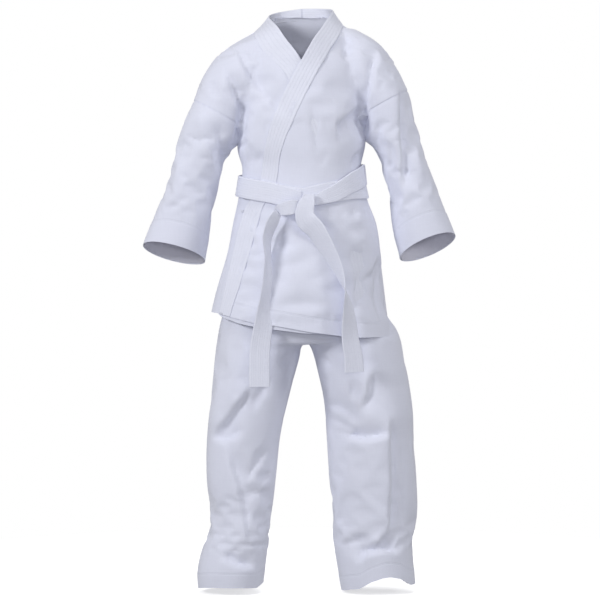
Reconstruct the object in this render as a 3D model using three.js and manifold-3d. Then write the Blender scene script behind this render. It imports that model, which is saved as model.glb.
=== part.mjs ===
// A child's karate uniform as it sits on a wearer: a crossed jacket, a knotted belt and trousers.
// Millimetres. +X is the wearer's left, -Y is the front and +Z is up.
// Heights are measured from the trouser hems, and the whole is then moved down to its origin.
import * as THREE from "three";
import { mergeVertices } from "three/addons/utils/BufferGeometryUtils.js";
import Module from "manifold-3d";

const wasm = await Module();
wasm.setup();

// Cloth and spacing
const CLOTH = 2;
const GAP = 0.5;
const FACING = 1.6;
const SEAM = 0.5;
const FAR = 600;
const SHOULDER_REST = 1060;

// How far each layer's outer face stands off the jacket's own surface
const UPPER_LAPEL_LAYER = 2.5;
const OUTER_LAYER = 0;
const LOWER_LAPEL_LAYER = OUTER_LAYER - CLOTH - GAP;
const INNER_LAYER = LOWER_LAPEL_LAYER - CLOTH - GAP;
const BELT_THICK = 2.4;
const BELT_INNER_LAYER = UPPER_LAPEL_LAYER + GAP + BELT_THICK;
const BELT_OUTER_LAYER = BELT_INNER_LAYER + GAP + BELT_THICK;

// Jacket
const LAPEL_WIDTH = 40;
const NECK = { x: -3, y: 12, halfWidth: 52, halfDepth: 46, foot: 1050, back: 1103 };
const HEM = { front: 503, slope: 0.149, back: 498 };
const VENT = { top: 622, halfGap: 22 };
const CUFF = { x: 247, z: 638, rise: 17, tip: 15, facing: 80 };
const SHOULDER = { x: 150, z: 985, radius: 94.5 };
const GUSSET = { halfDepth: 24, foot: 800, head: 896, inside: 100, outside: 130 };

const BARTACK = { x: -121, z: 713, size: 10, thick: 1 };
const STAY = { halfWidth: 14, height: 25, inside: 100 };

// Belt
const BELT = { centre: 764, tip: 9, halfWidth: 20, turnRise: 4 };
const KNOT = { front: 120.4, middle: 112, back: 107 };
const TAIL = { front: 123.5, back: 121, halfWidth: 19 };

// Trousers
const HIP = { x: 88, z: 480, radius: 84 };
const WAISTBAND = { foot: 762, top: 800, wall: 2.4 };
const CROTCH = { halfWidth: 14, halfDepth: 40, foot: 460, top: 500 };
const LEG_HEM = 28;

// Half width and half depth of the jacket's body by height
const BODY = [
  [430, 178, 117],
  [526, 168, 113],
  [642, 143, 102],
  [765, 121, 92],
  [850, 121, 95],
  [940, 126, 93],
  [1000, 120, 83],
  [1045, 106, 64],
  [1076, 66, 38],
].map(([z, halfWidth, halfDepth]) => ({ z, x: 0, halfWidth, halfDepth }));

// Inner and outer edge and half depth of a sleeve by height
const SLEEVE = [
  [590, 198, 316, 52],
  [692, 177, 288, 52],
  [820, 149, 246, 54],
  [880, 130, 227, 58],
  [929, 80, 205, 66],
  [970, 54, 187, 68],
  [1010, 48, 160, 60],
  [1052, 44, 108, 34],
];

// Half width and half depth of the trousers' seat by height
const SEAT = [
  [470, 150, 90],
  [526, 152, 94],
  [640, 130, 88],
  [765, 108, 80],
  [800, 106, 78],
].map(([z, halfWidth, halfDepth]) => ({ z, x: 0, halfWidth, halfDepth }));

// Inner and outer edge and half depth of each trouser leg by height
const RIGHT_LEG = [
  [-30, 72, 198, 66],
  [50, 70, 198, 66],
  [134, 61, 174, 64],
  [240, 50, 182, 68],
  [361, 29, 174, 72],
  [464, 5, 163, 76],
  [540, 5, 148, 70],
];
const LEFT_LEG = [
  [-30, 76, 212, 66],
  [84, 59, 207, 66],
  [160, 55, 217, 66],
  [285, 47, 210, 70],
  [361, 40, 203, 73],
  [464, 8, 174, 76],
  [540, 5, 148, 70],
];

// The middle of each lapel in the front view, from the neck to the hem
const UPPER_LAPEL = [
  [60, 1080],
  [42, 1042],
  [8, 988],
  [-30, 913],
  [-52, 858],
  [-63, 790],
  [-70, 755],
  [-97, 725],
  [-148, 540],
  [-160, 470],
];
const LOWER_LAPEL = [
  [-66, 1080],
  [-52, 1042],
  [-12, 980],
  [26, 913],
  [48, 858],
  [60, 790],
  [66, 755],
  [80, 725],
  [112, 540],
  [120, 440],
];

// The middle of each hanging belt end in the front view, from the knot down
const RIGHT_TAIL = [
  [-36, 719],
  [-62, 692],
  [-69, 650],
  [-68, 590],
  [-71, 530],
  [-78, 470],
  [-84, 386],
];
const LEFT_TAIL = [
  [10, 716],
  [30, 690],
  [57, 640],
  [79, 588],
  [86, 540],
  [92, 478],
  [95, 414],
];

const canvas = { color: 0xdcdfec, roughness: 0.92, metalness: 0 };
const webbing = { color: 0xe2e4f0, roughness: 0.88, metalness: 0 };
const lining = { color: 0xc2c4d6, roughness: 0.95, metalness: 0 };
const rubber = { color: 0xd8d4cc, roughness: 0.7, metalness: 0 };

// ---- solids ----

function solid(geometry) {
  const shared = geometry.clone();
  shared.deleteAttribute("normal");
  shared.deleteAttribute("uv");
  const merged = mergeVertices(shared, 1e-4);
  return new wasm.Manifold(
    new wasm.Mesh({
      numProp: 3,
      vertProperties: merged.attributes.position.array,
      triVerts: new Uint32Array(merged.index.array),
    }),
  );
}

// A stack of level ellipses, each grown by the same amount. foot and head move the two end faces.
function loft(sections, grow, { foot = 0, head = 0, sides = 28 } = {}) {
  const last = sections.length - 1;
  const height = (i) => sections[i].z + (i === 0 ? foot : 0) + (i === last ? head : 0);
  const profile = [new THREE.Vector2(0, 0)];
  sections.forEach((s, i) => profile.push(new THREE.Vector2(1, i)));
  profile.push(new THREE.Vector2(0, last));
  const geometry = new THREE.LatheGeometry(profile, sides);
  const position = geometry.attributes.position;
  for (let i = 0; i < position.count; i += 1) {
    const level = Math.round(position.getY(i));
    const s = sections[level];
    const across = position.getX(i) * (s.halfWidth + grow);
    const along = -position.getZ(i) * (s.halfDepth + grow);
    position.setXYZ(i, s.x + across, (s.y ?? 0) + along, height(level));
  }
  return solid(geometry);
}

function box(west, east, front, back, foot, head) {
  const geometry = new THREE.BoxGeometry(east - west, back - front, head - foot);
  geometry.translate((east + west) / 2, (back + front) / 2, (head + foot) / 2);
  return solid(geometry);
}

// Everything under a plane that passes through (x, 0, z), tilted about Y and about X in degrees
function under(x, z, aboutY, aboutX) {
  const geometry = new THREE.BoxGeometry(2 * FAR, 2 * FAR, FAR);
  geometry.translate(0, 0, -FAR / 2);
  geometry.rotateX(THREE.MathUtils.degToRad(aboutX));
  geometry.rotateY(THREE.MathUtils.degToRad(aboutY));
  geometry.translate(x, 0, z);
  return solid(geometry);
}

// A round bar along Y
function bar(x, z, radius) {
  const geometry = new THREE.CylinderGeometry(radius, radius, 2 * FAR, 32);
  geometry.translate(x, 0, z);
  return solid(geometry);
}

// An outline in the front view, given as [x, z], pulled from one depth to another
function prism(outline, front, back) {
  const shape = new THREE.Shape(outline.map(([x, z]) => new THREE.Vector2(x, z)));
  const geometry = new THREE.ExtrudeGeometry(shape, { depth: back - front, bevelEnabled: false });
  geometry.rotateX(Math.PI / 2);
  geometry.translate(0, back, 0);
  return solid(geometry);
}

// The outline of a strip that runs along a line of points
function strip(points, halfWidth) {
  const line = points.map(([x, z]) => new THREE.Vector2(x, z));
  const sides = line.map((p, i) => {
    const before = line[Math.max(i - 1, 0)];
    const after = line[Math.min(i + 1, line.length - 1)];
    const across = after.clone().sub(before).normalize();
    const step = new THREE.Vector2(-across.y, across.x).multiplyScalar(halfWidth);
    return [p.clone().add(step), p.clone().sub(step)];
  });
  const outline = [...sides.map((s) => s[0]), ...sides.map((s) => s[1]).reverse()];
  return outline.map((p) => [p.x, p.y]);
}

function mirrored([z, inner, outer, halfDepth], side) {
  return { z, x: (side * (inner + outer)) / 2, halfWidth: (outer - inner) / 2, halfDepth };
}

// ---- the jacket's surface and its layers ----

const body = (grow) => loft(BODY, grow, { foot: 5 * grow, head: grow, sides: 24 });
const arm = (side, grow) =>
  loft(SLEEVE.map((row) => mirrored(row, side)), grow, { foot: 5 * grow, head: grow, sides: 16 });
const jacket = (grow) => body(grow).add(arm(1, grow)).add(arm(-1, grow));
const layer = (outer, thick) => jacket(outer).subtract(jacket(outer - thick));

const NECK_COLUMN = [
  { z: NECK.foot - 40, x: NECK.x, y: NECK.y - 6, halfWidth: NECK.halfWidth + 6, halfDepth: NECK.halfDepth + 4 },
  { z: NECK.back + 40, x: NECK.x, y: NECK.y + 2, halfWidth: NECK.halfWidth - 4, halfDepth: NECK.halfDepth - 2 },
];
const neck = (grow) => loft(NECK_COLUMN, grow, { foot: grow, head: grow, sides: 20 });

const front = box(-FAR, FAR, -FAR, -SEAM / 2, -FAR, 2 * FAR);
const back = box(-FAR, FAR, SEAM / 2, FAR, -FAR, 2 * FAR);
const half = (side) => (side > 0 ? box(SEAM / 2, FAR, -FAR, FAR, -FAR, 2 * FAR)
  : box(-FAR, -SEAM / 2, -FAR, FAR, -FAR, 2 * FAR));

// What lies past the shoulder's round boundary and outside the body
function sleeveSpace(side, radius, clear) {
  const near = 112;
  const space = side > 0 ? box(near, FAR, -FAR, FAR, 0, 950) : box(-FAR, -near, -FAR, FAR, 0, 950);
  return space.subtract(bar(side * SHOULDER.x, SHOULDER.z, radius)).subtract(body(clear));
}

// The diamond of cloth let in under each arm
const gussetSpace = (side, clear) => {
  const west = side > 0 ? GUSSET.inside : -GUSSET.outside;
  const east = side > 0 ? GUSSET.outside : -GUSSET.inside;
  const depth = GUSSET.halfDepth + clear;
  return box(west, east, -depth, depth, GUSSET.foot - clear, GUSSET.head + clear);
};
const vents = box(-FAR, FAR, -VENT.halfGap, VENT.halfGap, 0, VENT.top);
const frontHem = prism(
  [
    [-FAR, 0],
    [FAR, 0],
    [FAR, HEM.front - HEM.slope * FAR],
    [-FAR, HEM.front + HEM.slope * FAR],
  ],
  -FAR,
  FAR,
);
const backHem = box(-FAR, FAR, -FAR, FAR, 0, HEM.back);

function trimmed(cloth) {
  return [1, -1].reduce(
    (rest, side) => rest
      .subtract(sleeveSpace(side, SHOULDER.radius - SEAM, SEAM / 2))
      .subtract(gussetSpace(side, SEAM)),
    cloth.subtract(neck(SEAM)).subtract(vents),
  );
}

// The front view on one side of a lapel's middle line
function frontOutline(lapel, side) {
  const neckEnd = [lapel[0][0], 2 * FAR];
  return prism([...lapel, [side * FAR, 0], [side * FAR, 2 * FAR], neckEnd], -FAR, -SEAM / 2);
}

const outerLayer = layer(OUTER_LAYER, CLOTH);
const innerLayer = layer(INNER_LAYER, CLOTH);

function backPanel(side) {
  return trimmed(outerLayer).intersect(back).intersect(half(side)).subtract(backHem);
}

function lapelBand(lapel, layerOffset, side) {
  const strand = prism(strip(lapel, LAPEL_WIDTH / 2), -FAR, -SEAM / 2);
  const fall = layer(layerOffset, CLOTH).intersect(strand).subtract(frontHem);
  const collar = neck(0)
    .subtract(neck(-CLOTH))
    .intersect(box(-FAR, FAR, NECK.y - 30, FAR, NECK.foot + 10, FAR * 2))
    .intersect(under(0, NECK.back - 6, 0, 8))
    .intersect(half(side));
  const space = vents.add(neck(-CLOTH));
  return fall.subtract(space).add(collar);
}

// ---- sleeves ----

const cuffPlane = (side, rise) => under(side * CUFF.x, CUFF.z + rise, -side * CUFF.rise, -CUFF.tip);

function sleeve(side) {
  const tube = arm(side, 0).subtract(arm(side, -CLOTH));
  return tube
    .intersect(sleeveSpace(side, SHOULDER.radius + SEAM, SEAM))
    .subtract(cuffPlane(side, 0));
}

function cuffFacing(side) {
  const outside = -CLOTH - GAP;
  return arm(side, outside)
    .subtract(arm(side, outside - FACING))
    .intersect(cuffPlane(side, CUFF.facing))
    .subtract(cuffPlane(side, 1));
}

function underarmGusset(side) {
  return outerLayer
    .intersect(gussetSpace(side, 0))
    .subtract(sleeveSpace(side, SHOULDER.radius - SEAM, SEAM / 2));
}

function ventStay(side) {
  const outside = OUTER_LAYER - CLOTH - GAP;
  const west = side > 0 ? STAY.inside : -FAR;
  const east = side > 0 ? FAR : -STAY.inside;
  const foot = VENT.top + 1;
  const space = box(west, east, -STAY.halfWidth, STAY.halfWidth, foot, foot + STAY.height);
  return body(outside).subtract(body(outside - FACING)).intersect(space);
}

function bartack() {
  const { x, z, size, thick } = BARTACK;
  const face = UPPER_LAPEL_LAYER + GAP + thick;
  return body(face)
    .subtract(body(face - thick))
    .intersect(box(x, x + size, -FAR, -SEAM, z, z + size));
}

// ---- belt ----

// One turn of the belt: level at the back of the waist and dipping to the knot in front
function beltTurn(outer, rise) {
  const middle = BELT.centre + rise;
  return body(outer)
    .subtract(body(outer - BELT_THICK))
    .intersect(under(0, middle + BELT.halfWidth, 0, BELT.tip))
    .subtract(under(0, middle - BELT.halfWidth, 0, BELT.tip));
}

function beltTail(points) {
  return prism(strip(points, TAIL.halfWidth), -TAIL.front, -TAIL.back);
}

const KNOT_CENTRE = [
  [-15, 712],
  [22, 726],
  [21, 750],
  [2, 754],
];
const KNOT_LOOP = [
  [-17, 714],
  [-50, 722],
  [-48, 738],
  [-26, 752],
  [0, 754],
];
const CROSS_STRAP = [
  [24, 726],
  [60, 736],
  [62, 768],
  [23, 752],
];

// ---- trousers ----

const leg = (side, grow) =>
  loft((side > 0 ? LEFT_LEG : RIGHT_LEG).map((row) => mirrored(row, side)), grow, {
    foot: 5 * grow,
    head: grow,
    sides: 16,
  });
const seat = (grow) => loft(SEAT, grow, { foot: -grow, head: -5 * grow, sides: 24 });
const trousers = (grow) => seat(grow).add(leg(1, grow)).add(leg(-1, grow));
const trouserCloth = trousers(0).subtract(trousers(-CLOTH));
const belowHips = box(-FAR, FAR, -FAR, FAR, -FAR, HIP.z);
const floor = box(-FAR, FAR, -FAR, FAR, -FAR, 0);
const crotch = (clear) => {
  const width = CROTCH.halfWidth + clear;
  const depth = CROTCH.halfDepth + clear;
  return box(-width, width, -depth, depth, 0, CROTCH.top + clear);
};

// What lies under the round boundaries at the hips, on each side of the middle
function legSpace(radius, clear) {
  const inside = CROTCH.halfWidth + clear;
  return belowHips
    .subtract(bar(HIP.x, HIP.z, radius))
    .subtract(bar(-HIP.x, HIP.z, radius))
    .subtract(box(-inside, inside, -FAR, FAR, CROTCH.foot - clear, HIP.z + 1));
}

function trouserTop(side, face) {
  return trouserCloth
    .subtract(legSpace(HIP.radius - SEAM, 0))
    .subtract(crotch(SEAM))
    .intersect(half(side))
    .intersect(face)
    .subtract(box(-FAR, FAR, -FAR, FAR, WAISTBAND.foot - GAP, 2 * FAR));
}

function trouserLeg(side, face) {
  return trouserCloth
    .intersect(legSpace(HIP.radius + SEAM, SEAM))
    .subtract(crotch(SEAM))
    .subtract(floor)
    .intersect(half(side))
    .intersect(face);
}

function legHem(side) {
  const outside = -CLOTH - GAP;
  return leg(side, outside)
    .subtract(leg(side, outside - FACING))
    .intersect(box(-FAR, FAR, -FAR, FAR, 1, LEG_HEM));
}

function waistRing(outer, wall, foot, head) {
  return seat(outer)
    .subtract(seat(outer - wall))
    .intersect(box(-FAR, FAR, -FAR, FAR, foot, head));
}

// ---- the assembly, moved so that its origin is where it rests on the shoulders ----

const worn = new THREE.Group();
worn.position.z = -SHOULDER_REST;

function add(name, shape, finish) {
  const { vertProperties, triVerts, numProp } = shape.getMesh();
  const count = vertProperties.length / numProp;
  const places = new Float32Array(count * 3);
  for (let i = 0; i < count; i += 1) {
    places.set(vertProperties.subarray(i * numProp, i * numProp + 3), i * 3);
  }
  const geometry = new THREE.BufferGeometry();
  geometry.setAttribute("position", new THREE.BufferAttribute(places, 3));
  geometry.setIndex(new THREE.BufferAttribute(triVerts, 1));
  geometry.computeVertexNormals();
  const mesh = new THREE.Mesh(geometry, new THREE.MeshStandardMaterial(finish));
  mesh.name = name;
  worn.add(mesh);
}

add(
  "left_front_panel",
  trimmed(outerLayer).intersect(frontOutline(UPPER_LAPEL, 1)).subtract(frontHem),
  canvas,
);
add(
  "right_front_panel",
  trimmed(innerLayer).intersect(frontOutline(LOWER_LAPEL, -1)).subtract(frontHem),
  canvas,
);
add("left_collar_band", lapelBand(UPPER_LAPEL, UPPER_LAPEL_LAYER, 1), canvas);
add("right_collar_band", lapelBand(LOWER_LAPEL, LOWER_LAPEL_LAYER, -1), canvas);

for (const [hand, side] of [["left", 1], ["right", -1]]) {
  add(`${hand}_back_panel`, backPanel(side), canvas);
  add(`${hand}_sleeve`, sleeve(side), canvas);
  add(`${hand}_cuff_facing`, cuffFacing(side), lining);
  add(`${hand}_underarm_gusset`, underarmGusset(side), canvas);
  add(`${hand}_vent_stay`, ventStay(side), lining);
  add(`trouser_${hand}_front_top`, trouserTop(side, front), canvas);
  add(`trouser_${hand}_back_top`, trouserTop(side, back), canvas);
  add(`trouser_${hand}_leg_front`, trouserLeg(side, front), canvas);
  add(`trouser_${hand}_leg_back`, trouserLeg(side, back), canvas);
  add(`trouser_${hand}_hem_facing`, legHem(side), lining);
}
add("tie_bartack", bartack(), webbing);
add("belt_inner_turn", beltTurn(BELT_INNER_LAYER, 0), webbing);
add("belt_outer_turn", beltTurn(BELT_OUTER_LAYER, BELT.turnRise), webbing);
add("belt_knot_centre", prism(KNOT_CENTRE, -KNOT.front, -KNOT.middle), webbing);
add("belt_knot_loop", prism(KNOT_LOOP, GAP - KNOT.middle, -KNOT.back), webbing);
add("belt_cross_strap", prism(CROSS_STRAP, GAP - KNOT.middle, -KNOT.back), webbing);
add("belt_right_tail", beltTail(RIGHT_TAIL), webbing);
add("belt_left_tail", beltTail(LEFT_TAIL), webbing);
add(
  "trouser_crotch_gusset",
  trouserCloth.intersect(crotch(0)),
  canvas,
);
add("trouser_waistband", waistRing(0, WAISTBAND.wall, WAISTBAND.foot, WAISTBAND.top), canvas);
add(
  "waistband_elastic",
  waistRing(-WAISTBAND.wall - GAP, FACING, WAISTBAND.foot + 6, WAISTBAND.top - 6),
  rubber,
);

const group = new THREE.Group();
group.add(worn);

export default group;
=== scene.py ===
"""A child's karate uniform in its worn shape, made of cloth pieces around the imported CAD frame.

The cloth is designed in millimetres, with heights from the trouser hems, and place() turns that
into the frame's metres. +X is the wearer's left and -Y is the front.
"""
import math
import bmesh
import bpy
import numpy as np
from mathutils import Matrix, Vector, noise
from mathutils.bvhtree import BVHTree


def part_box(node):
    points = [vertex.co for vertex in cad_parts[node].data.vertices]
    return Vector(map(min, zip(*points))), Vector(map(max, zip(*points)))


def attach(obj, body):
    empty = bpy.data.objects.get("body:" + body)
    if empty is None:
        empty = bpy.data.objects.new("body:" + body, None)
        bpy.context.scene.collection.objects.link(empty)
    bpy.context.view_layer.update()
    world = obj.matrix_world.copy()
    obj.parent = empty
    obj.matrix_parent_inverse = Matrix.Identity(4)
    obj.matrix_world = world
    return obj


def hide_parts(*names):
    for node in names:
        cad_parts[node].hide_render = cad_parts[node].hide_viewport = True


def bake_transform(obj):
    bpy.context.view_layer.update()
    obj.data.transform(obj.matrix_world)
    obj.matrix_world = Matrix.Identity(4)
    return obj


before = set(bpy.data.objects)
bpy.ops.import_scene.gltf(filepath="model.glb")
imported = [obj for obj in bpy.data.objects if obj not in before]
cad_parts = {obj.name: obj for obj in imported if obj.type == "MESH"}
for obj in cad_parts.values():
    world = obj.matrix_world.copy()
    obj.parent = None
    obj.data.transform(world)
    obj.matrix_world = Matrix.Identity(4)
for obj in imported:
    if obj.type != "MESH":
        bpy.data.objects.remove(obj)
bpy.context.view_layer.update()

MM = 0.001
HEM_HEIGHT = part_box("trouser_left_leg_front")[0].z
VOXEL = 5.0  # the forms' mesh size
CLOTH = 1.0  # thickness of one layer of canvas
FACING_CLOTH = 0.8
BAND_THICK = 2.2
BELT_THICK = 2.6
RIM_ANGLE = 55.0  # edges sharper than this, in degrees, stay sharp
NEAR_CUT = 12.0  # a plane cuts only the faces this near it
EYE_HEIGHT = 551.0
EYE_DISTANCE = 4000.0
EYE_SIDE = -5.7

# ---- shapes of the worn garment, one row per height: z, west, east, front, back ----

BODY = [
    (455, -188, 172, -115, 114),
    (526, -176, 162, -112, 110),
    (572, -164, 156, -108, 107),
    (642, -143, 148, -102, 102),
    (700, -132, 139, -98, 98),
    (745, -122, 122, -93, 93),
    (770, -118, 116, -91, 90),
    (805, -115, 111, -92, 91),
    (830, -124, 117, -96, 94),
    (860, -127, 121, -98, 95),
    (900, -126, 122, -98, 95),
    (940, -127, 124, -94, 94),
    (985, -124, 124, -85, 90),
    (1015, -118, 120, -73, 83),
    (1040, -106, 112, -56, 75),
    (1058, -94, 98, -38, 68),
    (1070, -84, 84, -24, 62),
    (1079, -70, 70, -12, 58),
    (1096, -58, 54, 6, 56),
]
RIGHT_ARM = [
    (590, -318, -190, -50, 50),
    (625, -312, -186, -50, 50),
    (661, -302, -180, -50, 50),
    (692, -290, -176, -50, 50),
    (762, -263, -162, -51, 50),
    (815, -247, -147, -52, 51),
    (834, -242, -134, -53, 52),
    (850, -238, -118, -54, 53),
    (870, -231, -110, -57, 56),
    (905, -216, -102, -62, 61),
    (935, -204, -84, -66, 65),
    (960, -194, -62, -68, 67),
    (990, -178, -50, -64, 66),
    (1015, -159, -46, -55, 60),
    (1035, -137, -44, -42, 52),
    (1050, -114, -42, -28, 42),
    (1060, -96, -40, -14, 32),
]
LEFT_ARM = [
    (590, 188, 316, -50, 50),
    (636, 184, 303, -50, 50),
    (676, 172, 288, -50, 50),
    (709, 167, 275, -50, 50),
    (746, 164, 259, -51, 50),
    (777, 154, 249, -52, 51),
    (821, 141, 233, -54, 53),
    (842, 128, 227, -55, 54),
    (858, 112, 221, -57, 56),
    (884, 106, 214, -60, 59),
    (915, 98, 207, -64, 63),
    (940, 80, 202, -67, 66),
    (973, 56, 186, -66, 66),
    (1000, 48, 171, -60, 63),
    (1020, 46, 157, -51, 58),
    (1040, 44, 139, -40, 50),
    (1054, 42, 118, -26, 40),
    (1066, 40, 98, -14, 30),
]
SEAT = [
    (468, -140, 140, -84, 86),
    (500, -152, 158, -92, 92),
    (526, -152, 152, -94, 93),
    (640, -128, 130, -88, 88),
    (765, -108, 108, -80, 80),
    (800, -106, 106, -78, 78),
]
RIGHT_LEG = [
    (-20, -198, -78, -66, 62),
    (6, -199, -76, -66, 62),
    (40, -200, -72, -68, 64),
    (72, -193, -68, -66, 66),
    (122, -176, -63, -63, 64),
    (146, -175, -60, -63, 65),
    (209, -182, -54, -68, 68),
    (285, -182, -47, -71, 71),
    (361, -174, -29, -75, 76),
    (412, -168, -15, -78, 80),
    (448, -165, -6, -80, 82),
    (490, -160, -4, -80, 84),
    (540, -148, -4, -72, 76),
]
LEFT_LEG = [
    (-20, 77, 214, -66, 62),
    (21, 70, 212, -67, 64),
    (84, 59, 208, -66, 66),
    (160, 55, 217, -66, 67),
    (203, 51, 216, -69, 69),
    (298, 46, 210, -72, 71),
    (361, 40, 205, -75, 76),
    (433, 22, 192, -79, 80),
    (490, 5, 178, -80, 84),
    (540, 4, 150, -72, 76),
]

# Where a sleeve is sewn to the body: a point of the seam in the front view, and the way down the sleeve
RIGHT_SEAM = ((-146.0, 897.0), (-0.473, -0.881))
LEFT_SEAM = ((142.0, 918.0), (0.485, -0.875))

# The lapels' free and sewn edges: x, y, height. On the chest y follows the cloth below.
UPPER_FREE = [
    (-3, 66, 1104), (24, 60, 1104), (45, 40, 1102), (55, 12, 1098), (50, -14, 1089), (39, -34, 1074),
    (18, -62, 1042), (-3, -80, 1007), (-14, -86, 988), (-26, -92, 966), (-47, -95, 920), (-62, -96, 882),
    (-72, -94, 840), (-79, -92, 790), (-86, -92, 757), (-106, -92, 736), (-119, -90, 700),
    (-134, -88, 640), (-149, -84, 572), (-158, -78, 528), (-163, -70, 500),
]
UPPER_SEWN = [
    (-3, 50, 1081), (28, 48, 1080), (58, 36, 1077), (74, 14, 1072), (75, -10, 1067), (69, -30, 1054),
    (48, -56, 1018), (29, -72, 987), (19, -80, 968), (8, -86, 947), (-18, -94, 893), (-33, -96, 858),
    (-43, -95, 826), (-48, -93, 785), (-55, -94, 757), (-72, -96, 736), (-84, -98, 700),
    (-101, -100, 640), (-122, -102, 572), (-136, -100, 528), (-144, -98, 496),
]
LOWER_FREE = [
    (-3, 66, 1104), (-30, 60, 1100), (-54, 40, 1095), (-66, 12, 1090), (-60, -12, 1082), (-50, -32, 1070),
    (-28, -60, 1041), (-3, -80, 1007), (12, -87, 980), (26, -92, 950), (44, -94, 900), (62, -94, 850),
    (78, -94, 790), (86, -94, 757), (98, -94, 728), (114, -98, 640), (131, -98, 545), (138, -96, 478),
]
LOWER_SEWN = [
    (-3, 50, 1081), (-34, 48, 1078), (-68, 36, 1071), (-88, 14, 1065), (-93, -12, 1054), (-86, -34, 1038),
    (-62, -58, 1008), (-38, -74, 986), (-24, -82, 962), (-10, -88, 934), (8, -93, 890), (22, -94, 846),
    (38, -94, 788), (46, -94, 752), (60, -96, 722), (76, -98, 636), (92, -100, 540), (100, -100, 476),
]

HEM_OVER_SEEN = [
    (-190, 531), (-170, 526), (-93, 507), (-53, 502), (13, 490), (74, 482), (106, 479), (190, 479),
]
HEM_UNDER_SEEN = [
    (-190, 529), (-166, 526), (-158, 519), (-123, 506), (-93, 500), (0, 488), (190, 480),
]
VENT_TOP = 622


# ---- small helpers ----

def place(points):
    """Millimetres from the hems to the frame's metres."""
    out = np.array(points, float).reshape(-1, 3) * MM
    out[:, 2] += HEM_HEIGHT
    return out


def design(points):
    """The frame's metres back to millimetres from the hems."""
    out = np.array(points, float).reshape(-1, 3).copy()
    out[:, 2] -= HEM_HEIGHT
    return out / MM


def true_place(points):
    """Points given as they line up, from the camera, with the plane y = 0: where they really are."""
    out = np.array(points, float)
    nearer = 1 + out[:, 1] / EYE_DISTANCE
    out[:, 0] *= nearer
    out[:, 2] = EYE_HEIGHT + (out[:, 2] - EYE_HEIGHT) * nearer
    return out


def on_front(path, y=-95.0):
    """The same for a line of (x, height) on the front of the cloth, whose y is a number or comes from x."""
    out = true_place([(x, y(x) if callable(y) else y, z) for x, z in path])
    return [(x, z) for x, _, z in out]


def coordinates(mesh):
    co = np.empty(len(mesh.vertices) * 3)
    mesh.vertices.foreach_get("co", co)
    return co.reshape(-1, 3)


def normals(mesh):
    out = np.empty(len(mesh.vertices) * 3)
    mesh.vertex_normals.foreach_get("vector", out)
    return out.reshape(-1, 3)


def set_coordinates(mesh, co):
    mesh.vertices.foreach_set("co", np.asarray(co, float).ravel())
    mesh.update()


def smoothstep(low, high, x):
    t = np.clip((np.asarray(x, float) - low) / (high - low), 0, 1)
    return t * t * (3 - 2 * t)


def between(rows, slope, i, t, h):
    """The smooth curve through rows, at t of the way from row i to the next, which is h further on."""
    start = (2 * t**3 - 3 * t**2 + 1) * rows[i] + (t**3 - 2 * t**2 + t) * h * slope[i]
    return start + (3 * t**2 - 2 * t**3) * rows[i + 1] + (t**3 - t**2) * h * slope[i + 1]


def spline(rows, count=None, step=None):
    """Points on one smooth curve through rows, evenly spaced along it."""
    rows = np.array(rows, float)
    chord = np.r_[0, np.cumsum(np.linalg.norm(np.diff(rows, axis=0), axis=1))]
    count = count or max(2, int(round(chord[-1] / step)) + 1)
    slope = np.gradient(rows, chord, axis=0)
    at = np.linspace(0, chord[-1], count)
    i = np.clip(np.searchsorted(chord, at, side="right") - 1, 0, len(rows) - 2)
    h = (chord[i + 1] - chord[i])[:, None]
    return between(rows, slope, i, (at - chord[i])[:, None] / h, h)


def new_mesh(name, points, faces):
    mesh = bpy.data.meshes.new(name)
    mesh.from_pydata([tuple(p) for p in points], [], faces)
    mesh.update()
    return mesh


def new_object(name, mesh):
    obj = bpy.data.objects.new(name, mesh)
    bpy.context.scene.collection.objects.link(obj)
    return obj


def baked(obj):
    """Applies the object's modifiers to its mesh and removes them."""
    depsgraph = bpy.context.evaluated_depsgraph_get()
    mesh = bpy.data.meshes.new_from_object(obj.evaluated_get(depsgraph))
    obj.modifiers.clear()
    old = obj.data
    obj.data = mesh
    bpy.data.meshes.remove(old)


# ---- forms: closed shapes that the cloth is cut from ----

def loft(rows, sides=72, step=12.0):
    """A closed stack of level ovals through rows of z, west, east, front and back."""
    rows = np.array(rows, float)
    levels = np.arange(rows[0, 0], rows[-1, 0], step)
    levels = np.r_[levels, rows[-1, 0]]
    slope = np.gradient(rows, rows[:, 0], axis=0)
    points = []
    for level in levels:
        i = min(np.searchsorted(rows[:, 0], level, side="right") - 1, len(rows) - 2)
        h = rows[i + 1, 0] - rows[i, 0]
        r = between(rows, slope, i, (level - rows[i, 0]) / h, h)
        for k in range(sides):
            turn = 2 * math.pi * k / sides
            x = (r[1] + r[2]) / 2 + (r[2] - r[1]) / 2 * math.sin(turn)
            y = (r[3] + r[4]) / 2 - (r[4] - r[3]) / 2 * math.cos(turn)
            points.append((x, y, level))
    faces = [tuple(range(sides))[::-1], tuple(range((len(levels) - 1) * sides, len(levels) * sides))]
    for j in range(len(levels) - 1):
        for k in range(sides):
            n = (k + 1) % sides
            faces.append((j * sides + k, j * sides + n, (j + 1) * sides + n, (j + 1) * sides + k))
    return points, faces


def form(name, lofts):
    """One even skin around several closed shapes."""
    points, faces = [], []
    for some_points, some_faces in lofts:
        base = len(points)
        points += some_points
        faces += [tuple(base + i for i in f) for f in some_faces]
    obj = new_object(name, new_mesh(name, place(points), faces))
    remesh = obj.modifiers.new("skin", "REMESH")
    remesh.mode = "VOXEL"
    remesh.voxel_size = VOXEL * MM
    relax = obj.modifiers.new("relax", "SMOOTH")
    relax.factor = 0.5
    relax.iterations = 6
    baked(obj)
    mesh = obj.data
    bpy.data.objects.remove(obj)
    return mesh


def surface(mesh):
    return BVHTree.FromPolygons([v.co for v in mesh.vertices], [p.vertices for p in mesh.polygons])


# ---- folds ----

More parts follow.
